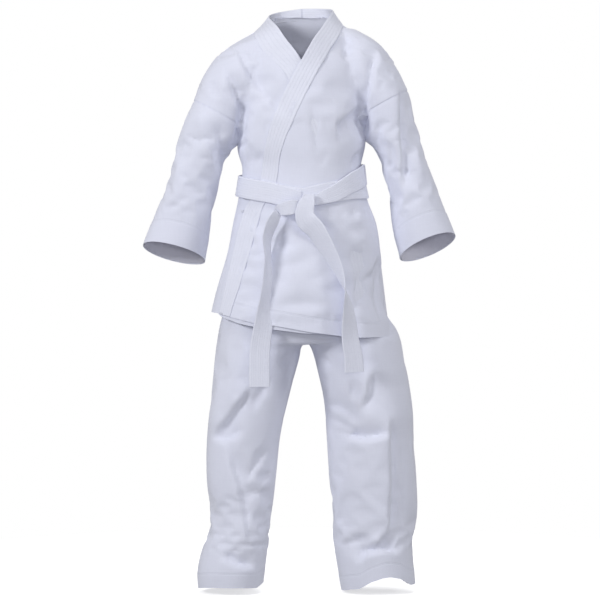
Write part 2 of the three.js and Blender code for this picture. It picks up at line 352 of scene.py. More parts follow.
def distance_to(path, x, z):
    """Signed distance from each (x, z) to a polyline, and how far along it the nearest point is."""
    path = np.array(path, float)
    lengths = np.linalg.norm(np.diff(path, axis=0), axis=1)
    starts = np.r_[0, np.cumsum(lengths)]
    best = np.full(len(x), 1e9)
    signed = np.zeros(len(x))
    along = np.zeros(len(x))
    for i, (a, b) in enumerate(zip(path[:-1], path[1:])):
        d = (b - a) / lengths[i]
        px, pz = x - a[0], z - a[1]
        t = px * d[0] + pz * d[1]
        inside = np.clip(t, 0, lengths[i])
        gap = np.hypot(px - inside * d[0], pz - inside * d[1])
        side = np.where(px * d[1] - pz * d[0] >= 0, 1.0, -1.0)
        nearer = gap < best
        best = np.where(nearer, gap, best)
        signed = np.where(nearer, gap * side, signed)
        along = np.where(nearer, (starts[i] + inside) / starts[-1], along)
    return signed, along


def fold(points, out, path, width, depth, lean=0.0, face="front", ends=0.25):
    """How far a fold along path moves each point along its normal.

    Without lean it is a sharp valley, or a ridge where depth is below 0. With lean it turns into a
    lap whose right-hand side, going along the path, stands over the other (left-hand where lean is
    below 0).
    """
    signed, along = distance_to(path, points[:, 0], points[:, 2])
    u = signed / width
    valley = np.exp(-np.abs(u) ** 1.2)
    lap = np.tanh(u * width / 3.0) * np.exp(-np.abs(u / 1.3) ** 1.4)
    shape = -(1 - abs(lean)) * valley + 0.9 * lean * lap
    taper = smoothstep(-0.02, ends, along) * smoothstep(1.02, 1 - ends, along)
    facing = -out[:, 1] if face == "front" else out[:, 1]
    return depth * shape * taper * smoothstep(-0.15, 0.45, facing)


def drape(points, seed, size=(70, 70, 210), height=2.0):
    """Soft unevenness, drawn out along the way the cloth hangs."""
    scale = 1 / np.array(size)
    shift = Vector((seed * 7.3, seed * 3.1, seed * 5.7))
    return np.array([noise.noise(Vector(p * scale) + shift) for p in points]) * height


def drape_over(mesh, seed, height=2.2, size=(70, 70, 210)):
    points, out = design(coordinates(mesh)), normals(mesh)
    move = drape(points, seed, size, height) + drape(points, seed + 9, (30, 30, 60), height * 0.25)
    set_coordinates(mesh, place(points + out * move[:, None]))
    return mesh


def creased(mesh, folds):
    points, out = design(coordinates(mesh)), normals(mesh)
    move = np.zeros(len(points))
    for item in folds:
        move += fold(points, out, **item)
    set_coordinates(mesh, place(points + out * move[:, None]))
    return mesh


# ---- cloth simulation of a form ----

def sagged(mesh, name, held, grow=0.014, frames=16, room=5.0, most=4.5, stiff=30.0, bend=12.0):
    """Lets a form settle as slightly loose cloth over a smaller core, where held(points) is not 1.

    Gravity is nearly off, and no point ends more than most millimetres from where it was.
    """
    points, out = design(coordinates(mesh)), normals(mesh)
    core = new_object(name + "_core", mesh.copy())
    set_coordinates(core.data, place(points - out * room))
    hit = core.modifiers.new("hit", "COLLISION")
    core.collision.thickness_outer = 0.001
    core.collision.cloth_friction = 20
    obj = new_object(name, mesh)
    group = obj.vertex_groups.new(name="held")
    weights = np.clip(held(points), 0, 1)
    for i, w in enumerate(weights):
        group.add([i], float(w), "REPLACE")
    cloth = obj.modifiers.new("cloth", "CLOTH")
    settings = cloth.settings
    settings.quality = 6
    settings.mass = 0.3
    settings.tension_stiffness = stiff
    settings.compression_stiffness = stiff
    settings.shear_stiffness = stiff / 3
    settings.bending_stiffness = bend
    settings.tension_damping = 10
    settings.compression_damping = 10
    settings.shear_damping = 10
    settings.air_damping = 4
    settings.shrink_min = -grow
    settings.vertex_group_mass = "held"
    settings.pin_stiffness = 4
    settings.effector_weights.gravity = 0.03
    cloth.collision_settings.distance_min = 0.001
    cloth.point_cache.frame_end = frames
    for frame_number in range(1, frames + 1):
        bpy.context.scene.frame_set(frame_number)
    baked(obj)
    bpy.context.scene.frame_set(1)
    moved = design(coordinates(obj.data)) - points
    length = np.linalg.norm(moved, axis=1)[:, None]
    moved *= np.tanh(length / most) * most / np.maximum(length, 1e-6)
    set_coordinates(obj.data, place(points + moved))
    bpy.data.objects.remove(core)
    result = obj.data
    bpy.data.objects.remove(obj)
    return result


# ---- cutting pieces out of a form ----

def middles(faces):
    """The faces' middles in millimetres from the hems, one row each."""
    flat = [value for f in faces for value in f.calc_center_median()]
    return design(np.array(flat).reshape(-1, 3))


def cut_along(bm, point, normal, where):
    """Cuts the faces that where() picks along a plane."""
    faces = list(bm.faces)
    picked = where(middles(faces))
    faces = [f for f, yes in zip(faces, picked) if yes]
    geom = set(faces)
    for f in faces:
        geom.update(f.edges)
        geom.update(f.verts)
    bmesh.ops.bisect_plane(
        bm, geom=list(geom), dist=1e-6, plane_co=place(point)[0], plane_no=Vector(normal)
    )


def cut_polyline(bm, path, where, across=0):
    """Cuts along a line of (x, z) points seen from the front, or of (y, z) points from the side."""
    for (a0, z0), (a1, z1) in zip(path[:-1], path[1:]):
        reach = VOXEL * 1.5
        point, normal = [0, 0, z0], [0, 0, a0 - a1]
        point[across], normal[across] = a0, z1 - z0

        def near(c):
            inside = (c[:, across] >= min(a0, a1) - reach) & (c[:, across] <= max(a0, a1) + reach)
            inside &= (c[:, 2] >= min(z0, z1) - 3 * reach) & (c[:, 2] <= max(z0, z1) + 3 * reach)
            return inside & where(c)

        cut_along(bm, point, normal, near)


def piece(name, mesh, cuts, keep):
    """A piece of a form: cut along every line in cuts, and only the faces that keep() picks."""
    bm = bmesh.new()
    bm.from_mesh(mesh)
    for cut in cuts:
        cut(bm)
    kept = keep(middles(bm.faces))
    gone = [f for f, yes in zip(bm.faces, kept) if not yes]
    bmesh.ops.delete(bm, geom=gone, context="FACES")
    keep_largest(bm)
    out = bpy.data.meshes.new(name)
    bm.to_mesh(out)
    bm.free()
    return new_object(name, out)


def keep_largest(bm):
    """Drops loose scraps that a cut leaves."""
    left = set(bm.faces)
    groups = []
    while left:
        stack = [left.pop()]
        group = []
        while stack:
            f = stack.pop()
            group.append(f)
            for e in f.edges:
                for other in e.link_faces:
                    if other in left:
                        left.remove(other)
                        stack.append(other)
        groups.append(group)
    groups.sort(key=len)
    scraps = [f for g in groups[:-1] for f in g]
    bmesh.ops.delete(bm, geom=scraps, context="FACES")


def thicken(obj, thickness):
    """Gives a single layer its thickness, inwards from the modelled face."""
    solid = obj.modifiers.new("thickness", "SOLIDIFY")
    solid.thickness = thickness * MM
    solid.offset = -1.0
    solid.use_even_offset = False
    baked(obj)
    obj.data.shade_smooth()
    obj.data.set_sharp_from_angle(angle=math.radians(RIM_ANGLE))


# ---- ribbons: lapels, belt and tapes ----

def ribbon(name, left, right, outward, thick, across=21, rows=5, groove=0.35):
    """A closed strip between two edge lines. outward is the way its face looks at each station."""
    left, right = np.array(left, float), np.array(right, float)
    outward = np.array(outward, float)
    count = len(left)
    v = np.linspace(0, 1, across)
    edge = np.clip(np.minimum(v, 1 - v) * 14, 0, 1)
    round_off = np.sqrt(np.clip(1 - (1 - edge) ** 2, 0.02, 1))
    stitched = groove * np.clip(np.cos(2 * math.pi * (v * (rows + 1))) * 2.2 - 1.2, 0, 1) * (edge > 0.99)
    lift = thick / 2 * round_off - stitched
    points = []
    length = np.r_[0, np.cumsum(np.linalg.norm(np.diff((left + right) / 2, axis=0), axis=1))]
    for j in range(count):
        n = outward[j] / np.linalg.norm(outward[j])
        for k in range(across):
            points.append(left[j] + (right[j] - left[j]) * v[k] + n * lift[k])
        for k in range(across - 1, -1, -1):
            points.append(left[j] + (right[j] - left[j]) * v[k] - n * lift[k])
    ring = 2 * across
    faces = [tuple(range(ring)), tuple(range((count - 1) * ring, count * ring))[::-1]]
    for j in range(count - 1):
        for k in range(ring):
            n = (k + 1) % ring
            faces.append((j * ring + k, (j + 1) * ring + k, (j + 1) * ring + n, j * ring + n))
    mesh = new_mesh(name, place(points), faces)
    layer = mesh.uv_layers.new(name="strip")
    for loop in mesh.loops:
        j, k = divmod(loop.vertex_index, ring)
        side = k if k < across else ring - 1 - k
        layer.data[loop.index].uv = (length[j] * MM, v[side])
    obj = new_object(name, mesh)
    mesh.shade_smooth()
    bm = bmesh.new()
    bm.from_mesh(mesh)
    bmesh.ops.recalc_face_normals(bm, faces=bm.faces)
    bm.to_mesh(mesh)
    bm.free()
    mesh.set_sharp_from_angle(angle=math.radians(RIM_ANGLE))
    return obj


def trim(obj, point, normal):
    """Cuts off the end of a closed strip beyond a plane, and closes the cut."""
    bm = bmesh.new()
    bm.from_mesh(obj.data)
    cut = bmesh.ops.bisect_plane(
        bm, geom=bm.verts[:] + bm.edges[:] + bm.faces[:], dist=1e-7,
        plane_co=place(point)[0], plane_no=Vector(normal), clear_outer=True,
    )
    rim = [e for e in cut["geom_cut"] if isinstance(e, bmesh.types.BMEdge)]
    bmesh.ops.holes_fill(bm, edges=rim)
    bmesh.ops.recalc_face_normals(bm, faces=bm.faces)
    bm.to_mesh(obj.data)
    bm.free()


# ---- the jacket's body and sleeves ----

def past_seam(seam, points):
    """How far each point is beyond a sleeve seam, down the sleeve."""
    (x, z), (dx, dz) = seam
    return (points[:, 0] - x) * dx + (points[:, 2] - z) * dz


def shortened(shape, seam, extra):
    """A closed shape with what is further than extra beyond a sleeve seam cut off."""
    (x, z), (dx, dz) = seam
    points, faces = shape
    bm = bmesh.new()
    made = [bm.verts.new(p) for p in points]
    for f in faces:
        bm.faces.new([made[i] for i in f])
    cut = bmesh.ops.bisect_plane(
        bm, geom=bm.verts[:] + bm.edges[:] + bm.faces[:], dist=1e-4,
        plane_co=(x + dx * extra, 0, z + dz * extra), plane_no=(dx, 0, dz), clear_outer=True,
    )
    rim = [e for e in cut["geom_cut"] if isinstance(e, bmesh.types.BMEdge)]
    bmesh.ops.holes_fill(bm, edges=rim)
    bm.verts.index_update()
    out = [tuple(v.co) for v in bm.verts], [tuple(v.index for v in f.verts) for f in bm.faces]
    bm.free()
    return out


HEM_OVER = on_front(HEM_OVER_SEEN)
HEM_UNDER = on_front(HEM_UNDER_SEEN)


def crease(path, width, depth, lean=0.0, face="front", ends=0.25):
    path = on_front(path) if face == "front" else path
    return {"path": path, "width": width, "depth": depth, "lean": lean, "face": face, "ends": ends}


JACKET_FOLDS = [
    # armpits: the sleeve's cloth laps over the chest's
    crease([(-152, 992), (-134, 950), (-122, 918), (-127, 872), (-134, 850)], 13, 13, 0.5, ends=0.2),
    crease([(146, 1034), (134, 985), (121, 935), (120, 900), (121, 862)], 13, 14, -0.5, ends=0.2),
    crease([(-144, 852), (-124, 852), (-104, 858)], 8, 10, -0.3, ends=0.4),
    crease([(-106, 855), (-104, 800)], 8, 6, 0.4, ends=0.4),
    # chest
    crease([(-132, 1044), (-114, 1000), (-86, 950), (-42, 902)], 30, 10, 0.5, ends=0.2),
    crease([(-112, 1046), (-90, 1004)], 14, 6, 0.3, ends=0.5),
    crease([(77, 1072), (82, 1052), (96, 1034)], 7, 8, 0.4, ends=0.4),
    crease([(77, 1062), (84, 1040), (88, 1010)], 9, 9, -0.3, ends=0.4),
    crease([(118, 930), (66, 886), (68, 848)], 30, 11, 0.7, ends=0.35),
    crease([(120, 850), (98, 822), (90, 800)], 14, 8, 0.4, ends=0.4),
    crease([(52, 838), (34, 800)], 16, 3, -0.4, ends=0.4),
    crease([(-78, 836), (-96, 806)], 9, 5, 0.0, ends=0.5),
    crease([(-52, 806), (-50, 850)], 6, 4, 0.0, ends=0.6),
    crease([(10, 930), (24, 820)], 34, 6, 0.4, ends=0.4),
    # sleeves
    crease([(-198, 930), (-187, 845), (-165, 772)], 22, -11, 0.0, ends=0.25),
    crease([(-168, 900), (-160, 830), (-156, 790)], 16, 9, 0.3, ends=0.3),
    crease([(-228, 850), (-244, 770), (-262, 700)], 20, -5, 0.0, ends=0.4),
    crease([(-165, 770), (-172, 730), (-170, 680)], 16, 7, 0.4, ends=0.4),
    crease([(186, 962), (187, 890), (190, 830), (192, 760)], 26, 14, 0.7, ends=0.2),
    crease([(150, 900), (142, 850), (152, 790)], 12, 8, -0.3, ends=0.3),
    crease([(168, 880), (166, 800), (172, 730)], 18, 6, 0.4, ends=0.4),
    crease([(222, 850), (232, 780)], 18, -5, 0.0, ends=0.4),
    # skirt
    crease([(150, 640), (138, 606), (112, 588)], 16, 9, 0.5, ends=0.4),
    crease([(152, 622), (138, 560), (142, 510)], 14, 8, 0.4, ends=0.3),
    crease([(60, 722), (92, 690), (104, 662)], 18, 5, -0.4, ends=0.4),
    crease([(98, 742), (100, 700)], 8, 5, 0.0, ends=0.5),
    crease([(118, 745), (126, 706)], 8, 5, 0.0, ends=0.5),
    crease([(88, 660), (102, 590), (98, 530)], 24, 10, 0.5, ends=0.3),
    crease([(-36, 700), (-18, 600), (-14, 520)], 34, -6, 0.0, ends=0.4),
    crease([(-40, 690), (-48, 640)], 12, 7, 0.4, ends=0.4),
    crease([(-108, 735), (-112, 690)], 8, 4, 0.0, ends=0.5),
    # back
    crease([(-90, 960), (-60, 700)], 20, 9, 0.5, "back", ends=0.4),
    crease([(84, 950), (56, 720)], 20, 9, -0.5, "back", ends=0.4),
    crease([(-146, 990), (-118, 880)], 13, 13, 0.5, "back", ends=0.3),
    crease([(142, 1000), (116, 880)], 13, 13, -0.5, "back", ends=0.3),
    crease([(-30, 1040), (0, 1024), (40, 1044)], 14, 5, 0.3, "back", ends=0.5),
    crease([(-40, 740), (-62, 540)], 22, 8, 0.5, "back", ends=0.4),
    crease([(60, 740), (88, 520)], 22, 8, -0.5, "back", ends=0.4),
    crease([(10, 745), (14, 560)], 22, -6, 0.0, "back", ends=0.4),
    crease([(-198, 920), (-180, 820), (-186, 720)], 20, 11, 0.5, "back", ends=0.3),
    crease([(198, 930), (182, 830), (196, 730)], 20, 11, -0.5, "back", ends=0.3),
    crease([(-230, 810), (-180, 790)], 12, 6, 0.3, "back", ends=0.5),
    crease([(225, 810), (178, 786)], 12, 6, 0.3, "back", ends=0.5),
]
STUB = 10  # how far the body's form reaches past a sleeve's seam
LAP = 6  # how far a sleeve reaches back under it


def body_held(p):
    """1 where the jacket's body stays in place: shoulders, belt, hem and sleeve seams."""
    out = np.maximum(smoothstep(1010, 1045, p[:, 2]), smoothstep(520, 495, p[:, 2]))
    out = np.maximum(out, smoothstep(705, 730, p[:, 2]) * smoothstep(905, 815, p[:, 2]))
    for seam in (RIGHT_SEAM, LEFT_SEAM):
        out = np.maximum(out, smoothstep(-25, -5, past_seam(seam, p)) * (abs(p[:, 0]) > 118))
    return out


def sleeve_held(hand, seam):
    """The same for a sleeve: its seam and its cuff."""
    def held(p):
        return np.maximum(smoothstep(25, 5, past_seam(seam, p)), smoothstep(80, 10, above_cuff(hand, p)))
    return held


# Each cuff's plane: a point, and how the edge rises towards +X and +Y
CUFFS = {"right": ((-245, 0, 640), -0.254, -0.31), "left": ((236, 0, 651.5), 0.398, -0.36)}
FACING = 42


def above_cuff(hand, points):
    (x, y, z), by_x, by_y = CUFFS[hand]
    plane = z + by_x * (points[:, 0] - x) + by_y * (points[:, 1] - y)
    return (points[:, 2] - plane) / math.hypot(1, by_x, by_y)


def jacket_form(name, lofts, held):
    mesh = drape_over(form(name, lofts), seed=1)
    return creased(sagged(mesh, name, held), JACKET_FOLDS)


body_form = jacket_form(
    "body_form",
    [loft(BODY), shortened(loft(RIGHT_ARM), RIGHT_SEAM, STUB), shortened(loft(LEFT_ARM), LEFT_SEAM, STUB)],
    body_held,
)
body_tree = surface(body_form)
right_arm_form = jacket_form("right_arm_form", [loft(RIGHT_ARM)], sleeve_held("right", RIGHT_SEAM))
left_arm_form = jacket_form("left_arm_form", [loft(LEFT_ARM)], sleeve_held("left", LEFT_SEAM))


def ray_front(tree, x, z):
    """The cloth's point and outward direction straight behind a point of the front view."""
    start = Vector(place((x, -400, z))[0])
    hit, normal, _, _ = tree.ray_cast(start, Vector((0, 1, 0)))
    if hit is None:
        return None
    return design(hit)[0], np.array(normal)


def settle(tree, point, lift):
    """A point moved onto the cloth, and lift millimetres off it."""
    spot, normal, _, _ = tree.find_nearest(Vector(place(point)[0]))
    near = design(spot)[0] + np.array(normal) * lift
    found = ray_front(tree, point[0], point[2])
    if found is None or point[1] > -20:
        return near
    front = found[0] + found[1] * lift
    w = float(smoothstep(1030, 1000, point[2]))
    return near * (1 - w) + front * w


def smoothed(points, rounds=3):
    points = np.array(points, float)
    for _ in range(rounds):
        points[1:-1] = points[:-2] * 0.25 + points[1:-1] * 0.5 + points[2:] * 0.25
    return points


def laid_edges(free, sewn, free_lift, sewn_lift):
    """A lapel's two edges laid on the cloth; round the neck only the sewn edge touches it."""
    sewn = spline(true_place(sewn), step=6)
    free = spline(true_place(free), count=len(sewn))
    laid_sewn = smoothed([settle(body_tree, p, sewn_lift) for p in sewn])
    laid_free = np.array([settle(body_tree, p, free_lift) for p in free])
    w = smoothstep(1015, 985, free[:, 2])[:, None]
    laid_free = smoothed((free + laid_sewn - sewn) * (1 - w) + laid_free * w)
    return laid_free, laid_sewn


class Lap:
    """One lapel's line on the body, which tells how far a point is on its panel's side."""

    def __init__(self, free, sewn):
        free, sewn = laid_edges(free, sewn, 0, 0)
        self.sewn = sewn
        self.at = sewn * 0.72 + free * 0.28
        self.across = (sewn - free) / np.linalg.norm(sewn - free, axis=1)[:, None]

    def side(self, points):
        out = np.empty(len(points))
        for first in range(0, len(points), 4000):
            some = points[first:first + 4000]
            gap = np.linalg.norm(some[:, None, :] - self.at[None], axis=2)
            nearest = gap.argmin(axis=1)
            out[first:first + 4000] = np.einsum(
                "ij,ij->i", some - self.at[nearest], self.across[nearest]
            )
        return out


upper_lap = Lap(UPPER_FREE, UPPER_SEWN)
lower_lap = Lap(LOWER_FREE, LOWER_SEWN)

NECK_MIDDLE = np.array((-6.0, 10.0))
NECK_FOOT = 1006


def polar(points):
    offset = points[:, :2] - NECK_MIDDLE
    return np.degrees(np.arctan2(offset[:, 0], -offset[:, 1])), np.linalg.norm(offset, axis=1)


def neck_hole(c):
    """True inside the ring of sewn edges round the neck, seen from above."""
    ring = np.vstack([upper_lap.sewn, lower_lap.sewn])
    ring = ring[ring[:, 2] > NECK_FOOT]
    angle, reach = polar(ring)
    order = np.argsort(angle)
    at, distance = polar(c)
    return (distance < np.interp(at, angle[order], reach[order], period=360) - 3) & (c[:, 2] > NECK_FOOT)


# The side vents' edges as (y, height): each front and back edge, from the top of the vent down
VENTS = {
    ("east", "front"): [(0, VENT_TOP), (-18, 600), (-33, 560), (-36, 500), (-36, 440)],
    ("east", "back"): [(0, VENT_TOP), (-26, 600), (-46, 545), (-50, 440)],
    ("west", "front"): [(0, VENT_TOP), (-4, 600), (-14, 545), (-18, 440)],
    ("west", "back"): [(0, VENT_TOP), (2, 600), (6, 545), (8, 440)],
}
HEM_BACK = [(-190, 538), (-150, 526), (0, 502), (110, 496), (190, 500)]


def line_at(path, heights):
    """The first coordinate of a falling line at each height."""
    path = sorted(path, key=lambda p: p[1])
    return np.interp(heights, [p[1] for p in path], [p[0] for p in path])


def hem_at(path, x):
    return np.interp(x, [p[0] for p in path], [p[1] for p in path])


SHOULDER_SEAM_FOOT = 897
SEAM_BACK, SEAM_OUT = 30.0, 200.0


def shoulder_seam(c):
    """The shoulder seam runs a little behind the ridge near the neck."""
    return SEAM_BACK * (1 - abs(c[:, 0]) / SEAM_OUT)


def side_line(c, face):
    """Where the front or back half ends at each point's height and side, as y."""
    east, west = line_at(VENTS["east", face], c[:, 2]), line_at(VENTS["west", face], c[:, 2])
    y = np.where(c[:, 0] > 0, east, west)
    y = np.where(c[:, 2] < VENT_TOP, y, 0.0)
    return np.where(c[:, 2] > SHOULDER_SEAM_FOOT, shoulder_seam(c), y)


def half_cuts(face, hem):
    """The cuts that free the front or back half of the body form."""
    def cut(bm):
        cut_along(
            bm, (0, 0, 0), (0, 1, 0),
            lambda c: (c[:, 2] > VENT_TOP - NEAR_CUT) & (c[:, 2] < SHOULDER_SEAM_FOOT)
            & (abs(c[:, 1]) < NEAR_CUT),
        )
        for sign in (1, -1):
            cut_along(
                bm, (0, SEAM_BACK, 0), (sign * SEAM_BACK / SEAM_OUT, 1, 0),
                lambda c: (c[:, 0] * sign > 0) & (c[:, 2] > SHOULDER_SEAM_FOOT)
                & (abs(c[:, 1] - shoulder_seam(c)) < NEAR_CUT),
            )
        for side, sign in (("east", 1), ("west", -1)):
            cut_polyline(bm, VENTS[side, face], lambda c: c[:, 0] * sign > 60, across=1)
        cut_polyline(bm, hem, lambda c: (c[:, 1] < 0) == (face == "front"))
        for seam in (RIGHT_SEAM, LEFT_SEAM):
            (x, z), (dx, dz) = seam
            cut_along(bm, (x, 0, z), (dx, 0, dz), lambda c: abs(past_seam(seam, c)) < NEAR_CUT)
    return cut


def on_body(c):
    """Not down a sleeve: above both sleeve seams, or on the body's own wall."""
    wall = (c[:, 0] > np.interp(c[:, 2], [r[0] for r in BODY], [r[1] for r in BODY]) - 1)
    wall &= (c[:, 0] < np.interp(c[:, 2], [r[0] for r in BODY], [r[2] for r in BODY]) + 1)
    right = (past_seam(RIGHT_SEAM, c) < 0) | wall | (c[:, 0] > 0)
    left = (past_seam(LEFT_SEAM, c) < 0) | wall | (c[:, 0] < 0)
    return right & left


GUSSET_FOOT, GUSSET_HEAD, GUSSET_HALF = 800, 896, 26


def in_gusset(c):
    width = GUSSET_HALF * (c[:, 2] - GUSSET_FOOT) / (GUSSET_HEAD - GUSSET_FOOT)
    return (abs(c[:, 1]) < width) & (c[:, 2] < GUSSET_HEAD) & (abs(c[:, 0]) > 100)


def front_half(c, hem):
    return (c[:, 1] < side_line(c, "front")) & (c[:, 2] > hem_at(hem, c[:, 0])) & on_body(c)


def back_half(c):
    return (c[:, 1] >= side_line(c, "back")) & (c[:, 2] > hem_at(HEM_BACK, c[:, 0])) & on_body(c)


def collar_clear(lap, c):
    """True on the panel's side of its lapel and outside the neck. The back has only the neck."""
    behind = c[:, 1] > shoulder_seam(c)
    return ((lap.side(c) > 0) | behind | (c[:, 1] > 0)) & ~neck_hole(c)


OVER_LIFT, UNDER_DROP = 1.6, 1.8  # where the two fronts overlap
CHEST_TOP = 1000  # above this each front keeps to its own side of the neck
LINING_DROP, STAY_DROP, SEAM_TUCK = -1.6, -1.3, -1.4
HEM_LIFT, WAISTBAND_LIFT = 0.5, 1.7


def shift(obj, move):
    """Moves each point of a piece along its normal by move(points) millimetres."""
    mesh = obj.data
    points = design(coordinates(mesh))
    set_coordinates(mesh, place(points + normals(mesh) * np.asarray(move(points))[:, None]))


left_front = piece(
    "left_front_cloth", body_form, [half_cuts("front", HEM_OVER)],
    lambda c: front_half(c, HEM_OVER) & collar_clear(upper_lap, c) & ~in_gusset(c)
    & ((c[:, 0] > -NEAR_CUT) | (c[:, 2] < CHEST_TOP)),
)
CORNER_LIFT = 6.0
shift(
    left_front,
    lambda p: OVER_LIFT * smoothstep(-60, -20, lower_lap.side(p))
    + CORNER_LIFT * smoothstep(560, 500, p[:, 2]) * smoothstep(70, 125, p[:, 0]),
)

right_front = piece(
    "right_front_cloth", body_form, [half_cuts("front", HEM_UNDER)],
    lambda c: front_half(c, HEM_UNDER) & collar_clear(lower_lap, c) & ~in_gusset(c)
    & ((c[:, 0] < NEAR_CUT) | (c[:, 2] < CHEST_TOP)),
)
shift(right_front, lambda p: -UNDER_DROP * smoothstep(-62, -30, upper_lap.side(p)))


def centre_cut(bm):
    """The cut down the middle, for the centre-back seam and between the legs."""
    cut_along(bm, (0, 0, 0), (1, 0, 0), lambda c: abs(c[:, 0]) < NEAR_CUT)


back_cloth = {}
for hand, sign, lap in (("left", 1, upper_lap), ("right", -1, lower_lap)):
    back_cloth[hand] = piece(
        f"{hand}_back_cloth", body_form,
        [half_cuts("back", HEM_BACK), centre_cut],
        lambda c: back_half(c) & (c[:, 0] * sign > 0) & collar_clear(lap, c) & ~in_gusset(c),
    )
TUCK_UNDER = -3.0


def tuck_at_vent(p):
    """The back panel's edge goes close under the front panel's at the wearer's left vent."""
    below = smoothstep(VENT_TOP + 6, VENT_TOP - 10, p[:, 2])
    return TUCK_UNDER * below * smoothstep(20, -8, p[:, 1]) * (p[:, 0] > 60)


shift(back_cloth["left"], tuck_at_vent)

gussets = {}
for hand, sign in (("left", 1), ("right", -1)):
    gussets[hand] = piece(
        f"{hand}_gusset_cloth", body_form, [half_cuts("front", HEM_OVER)],
        lambda c: in_gusset(c) & on_body(c) & (c[:, 0] * sign > 0),
    )


def sleeve_cuts(hand, seam, top):
    (x, z), (dx, dz) = seam
    point, by_x, by_y = CUFFS[hand]
    start = (x - dx * top, 0, z - dz * top)

    def cut(bm):
        cut_along(bm, start, (dx, 0, dz), lambda c: abs(past_seam(seam, c) + top) < NEAR_CUT)
        cut_along(bm, point, (-by_x, -by_y, 1), lambda c: abs(above_cuff(hand, c)) < NEAR_CUT)
    return cut


sleeves, cuff_facings = {}, {}
for hand, mesh, seam in (("right", right_arm_form, RIGHT_SEAM), ("left", left_arm_form, LEFT_SEAM)):
    sleeves[hand] = piece(
        f"{hand}_sleeve_cloth", mesh, [sleeve_cuts(hand, seam, LAP)],
        lambda c: (past_seam(seam, c) > -LAP) & (above_cuff(hand, c) > 0),
    )
    tuck = lambda p: SEAM_TUCK * smoothstep(6, 1, past_seam(seam, p))
    hem_lift = lambda p: HEM_LIFT * smoothstep(FACING + 1.5, FACING - 1.5, above_cuff(hand, p))
    shift(sleeves[hand], lambda p: tuck(p) + hem_lift(p))
    cuff_facings[hand] = piece(
        f"{hand}_cuff_lining", mesh, [sleeve_cuts(hand, seam, LAP)],
        lambda c: (above_cuff(hand, c) > 2) & (above_cuff(hand, c) < FACING),
    )
    shift(cuff_facings[hand], lambda p: np.full(len(p), LINING_DROP))


# ---- the lapel bands ----

def band(name, free, sewn, free_lift, sewn_lift, sign):
    laid_free, laid_sewn = laid_edges(free, sewn, free_lift, sewn_lift)
    along = np.gradient(laid_sewn + laid_free, axis=0)
    outward = np.cross(along, laid_free - laid_sewn) * sign
    outward /= np.linalg.norm(outward, axis=1)[:, None]
    return ribbon(name, laid_free, laid_sewn, outward, BAND_THICK, across=37, rows=5, groove=0.22)


left_band = band("left_lapel_band", UPPER_FREE, UPPER_SEWN, 1.7, 2.3, 1)
trim(left_band, (HEM_OVER[2][0], 0, HEM_OVER[2][1] + 0.5), (-19, 0, -77))
right_band = band("right_lapel_band", LOWER_FREE, LOWER_SEWN, -0.9, -0.6, -1)
trim(right_band, (106, 0, 486), (0, 0, -1))


# ---- the belt ----

BELT_WEAVE = {"across": 25, "rows": 8, "groove": 0.22}


def turn_around(name, mids, halves, lift, first, last, step=4.0):
    """A turn of belt round the waist. Angles run from the front (0) towards the wearer's left (90)."""
    count = int(round(abs(last - first) / step)) + 1
    angles = np.linspace(first, last, count)
    keys = sorted(mids)
    middle = np.interp(angles, keys, [mids[k] for k in keys])
    nearer = 1 - 100 / EYE_DISTANCE * np.cos(np.radians(angles))
    middle = EYE_HEIGHT + (middle - EYE_HEIGHT) * nearer
    keys = sorted(halves)
    half = np.interp(angles, keys, [halves[k] for k in keys])
    edges = []
    for side in (1, -1):
        line = []
        for angle, mid, reach in zip(np.radians(angles), middle, half):
            way = np.array((math.sin(angle), -math.cos(angle), 0))
            level = mid + side * reach
            hit, _, _, _ = body_tree.ray_cast(Vector(place(way * 400 + (0, 0, level))[0]), Vector(-way))
            radius = math.hypot(hit.x, hit.y) / MM if hit else 110.0
            line.append(radius)
        radius = np.array(line)
        for _ in range(4):
            padded = np.pad(radius, 2, mode="edge")
            radius = np.maximum(radius, np.convolve(padded, np.full(5, 0.2), mode="valid"))
            radius = np.convolve(np.pad(radius, 1, mode="edge"), (0.25, 0.5, 0.25), mode="valid")
        ways = np.stack([np.sin(np.radians(angles)), -np.cos(np.radians(angles)), 0 * angles], axis=1)
        edge = ways * (radius + lift)[:, None]
        edge[:, 2] = middle + side * half
        edges.append(edge)
    return ribbon(name, edges[0], edges[1], ways, BELT_THICK, **BELT_WEAVE)


# The turns' middle heights, and the outer turn's half width, by angle round the waist
INNER_TURN = {
    -180: 778, -110: 769, -75: 766, -35: 755, -22: 749, 0: 744, 24: 754, 55: 762, 80: 763, 110: 768,
    180: 778,
}
OUTER_TURN = {
    -350: 739, -325: 755, -305: 774, -280: 789, -250: 790, -180: 783, -110: 771, -75: 766, -35: 755,
    -22: 749, -2: 742,
}
OUTER_HALF = {-350: 9.5, -336: 14, -322: 18, -305: 19.5, -280: 19.5, -22: 19.5, -2: 16}
INNER_LIFT, OUTER_LIFT = 3.8, 6.6  # of the turns' middles off the jacket
inner_turn = turn_around("belt_turn_inner", INNER_TURN, {-180: 19.5, 180: 19.5}, INNER_LIFT, -180, 180)
outer_turn = turn_around("belt_turn_outer", OUTER_TURN, OUTER_HALF, OUTER_LIFT, -350, -2)


